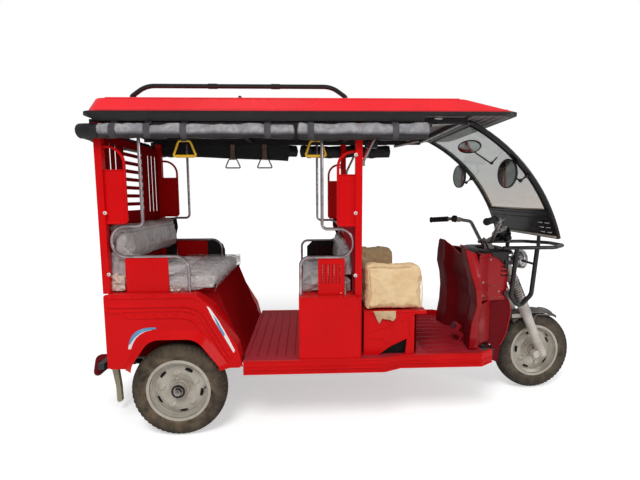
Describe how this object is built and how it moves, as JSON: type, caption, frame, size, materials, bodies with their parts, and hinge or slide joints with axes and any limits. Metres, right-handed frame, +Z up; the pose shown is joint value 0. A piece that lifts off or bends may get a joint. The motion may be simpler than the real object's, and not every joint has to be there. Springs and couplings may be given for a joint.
{
  "type": "electric rickshaw",
  "caption": "Three-wheeled electric passenger rickshaw with open sides, facing benches, driver's bench, curved windscreen, roof rack and bar steering.",
  "frame": {"origin": "on the ground under the middle of the overall box", "axes": "+X forward, +Y to the vehicle's left, +Z up"},
  "size_m": [2.8009, 0.95, 1.759],
  "materials": {
    "tyre": "matt moulded rubber",
    "rim_silver": "silver enamel",
    "body_red": "gloss red",
    "deep_red": "gloss maroon",
    "frame_black": "gloss black",
    "bright_tube": "polished",
    "axle_iron": "painted dark grey",
    "grey_vinyl": "grey vinyl under clear film",
    "tan_wrap": "tan packing wrap",
    "curtain_cloth": "rolled waterproof cloth",
    "grip_yellow": "moulded",
    "black_plastic": "fine texture",
    "screen_glass": "tinted clear",
    "lamp_chrome": "bright",
    "lamp_red": "ribbed lens",
    "grip_rubber": "ribbed",
    "fork_alloy": "satin"
  },
  "bodies": {
    "chassis": {"chassis_frame": "frame_black", "rear_axle": "axle_iron", "leaf_springs": "axle_iron", "floor_pan": "body_red", "side_sills": "body_red", "driver_floor": "body_red", "rear_bumper": "frame_black", "rear_fender_right": "body_red", "rear_fender_left": "body_red", "rear_seat_box": "body_red", "rear_wall": "body_red", "rear_posts": "body_red", "mid_posts": "body_red", "seat_rails": "bright_tube", "arm_panels": "body_red", "mid_seat_box": "body_red", "battery_pack": "black_plastic", "rear_seat_cushion": "grey_vinyl", "rear_seat_back": "grey_vinyl", "mid_seat_cushion": "grey_vinyl", "mid_seat_back": "grey_vinyl", "driver_seat_box": "body_red", "driver_seat_cushion": "tan_wrap", "legshield": "deep_red", "front_apron": "body_red", "splash_panel": "deep_red", "roof_shell": "body_red", "roof_lip": "frame_black", "roof_frame": "body_red", "roof_rack": "frame_black", "curtain_rolls": "curtain_cloth", "hand_grips": "grip_yellow", "windscreen_frame": "frame_black", "windscreen_glass": "screen_glass", "front_guard": "frame_black", "headlamp": "lamp_chrome", "mirrors": "black_plastic", "tail_lamps": "lamp_red"},
    "steering": {"fork": "fork_alloy", "handlebar": "frame_black", "bar_grips": "grip_rubber", "instrument_pod": "black_plastic", "front_mudguard": "black_plastic"},
    "front_wheel": {"front_tyre": "tyre", "front_rim": "rim_silver"},
    "rear_wheel_left": {"rear_left_tyre": "tyre", "rear_left_rim": "rim_silver"},
    "rear_wheel_right": {"rear_right_tyre": "tyre", "rear_right_rim": "rim_silver"}
  },
  "joints": [
    {"name": "steering_head", "type": "hinge", "parent": "chassis", "child": "steering", "pos_m": [0.839, 0, 0.915], "axis": [-0.3987, 0, 0.9171], "range_deg": [-41, 29]},
    {"name": "front_wheel_spin", "type": "hinge", "parent": "steering", "child": "front_wheel", "pos_m": [1.16585, 0.00313, 0.23793], "axis": [-0.0959, 0.9945, -0.0417], "continuous": true},
    {"name": "rear_wheel_left_spin", "type": "hinge", "parent": "chassis", "child": "rear_wheel_left", "pos_m": [-0.898, 0.416, 0.238], "axis": [0, 1, 0], "continuous": true},
    {"name": "rear_wheel_right_spin", "type": "hinge", "parent": "chassis", "child": "rear_wheel_right", "pos_m": [-0.898, -0.416, 0.238], "axis": [0, 1, 0], "continuous": true}
  ]
}
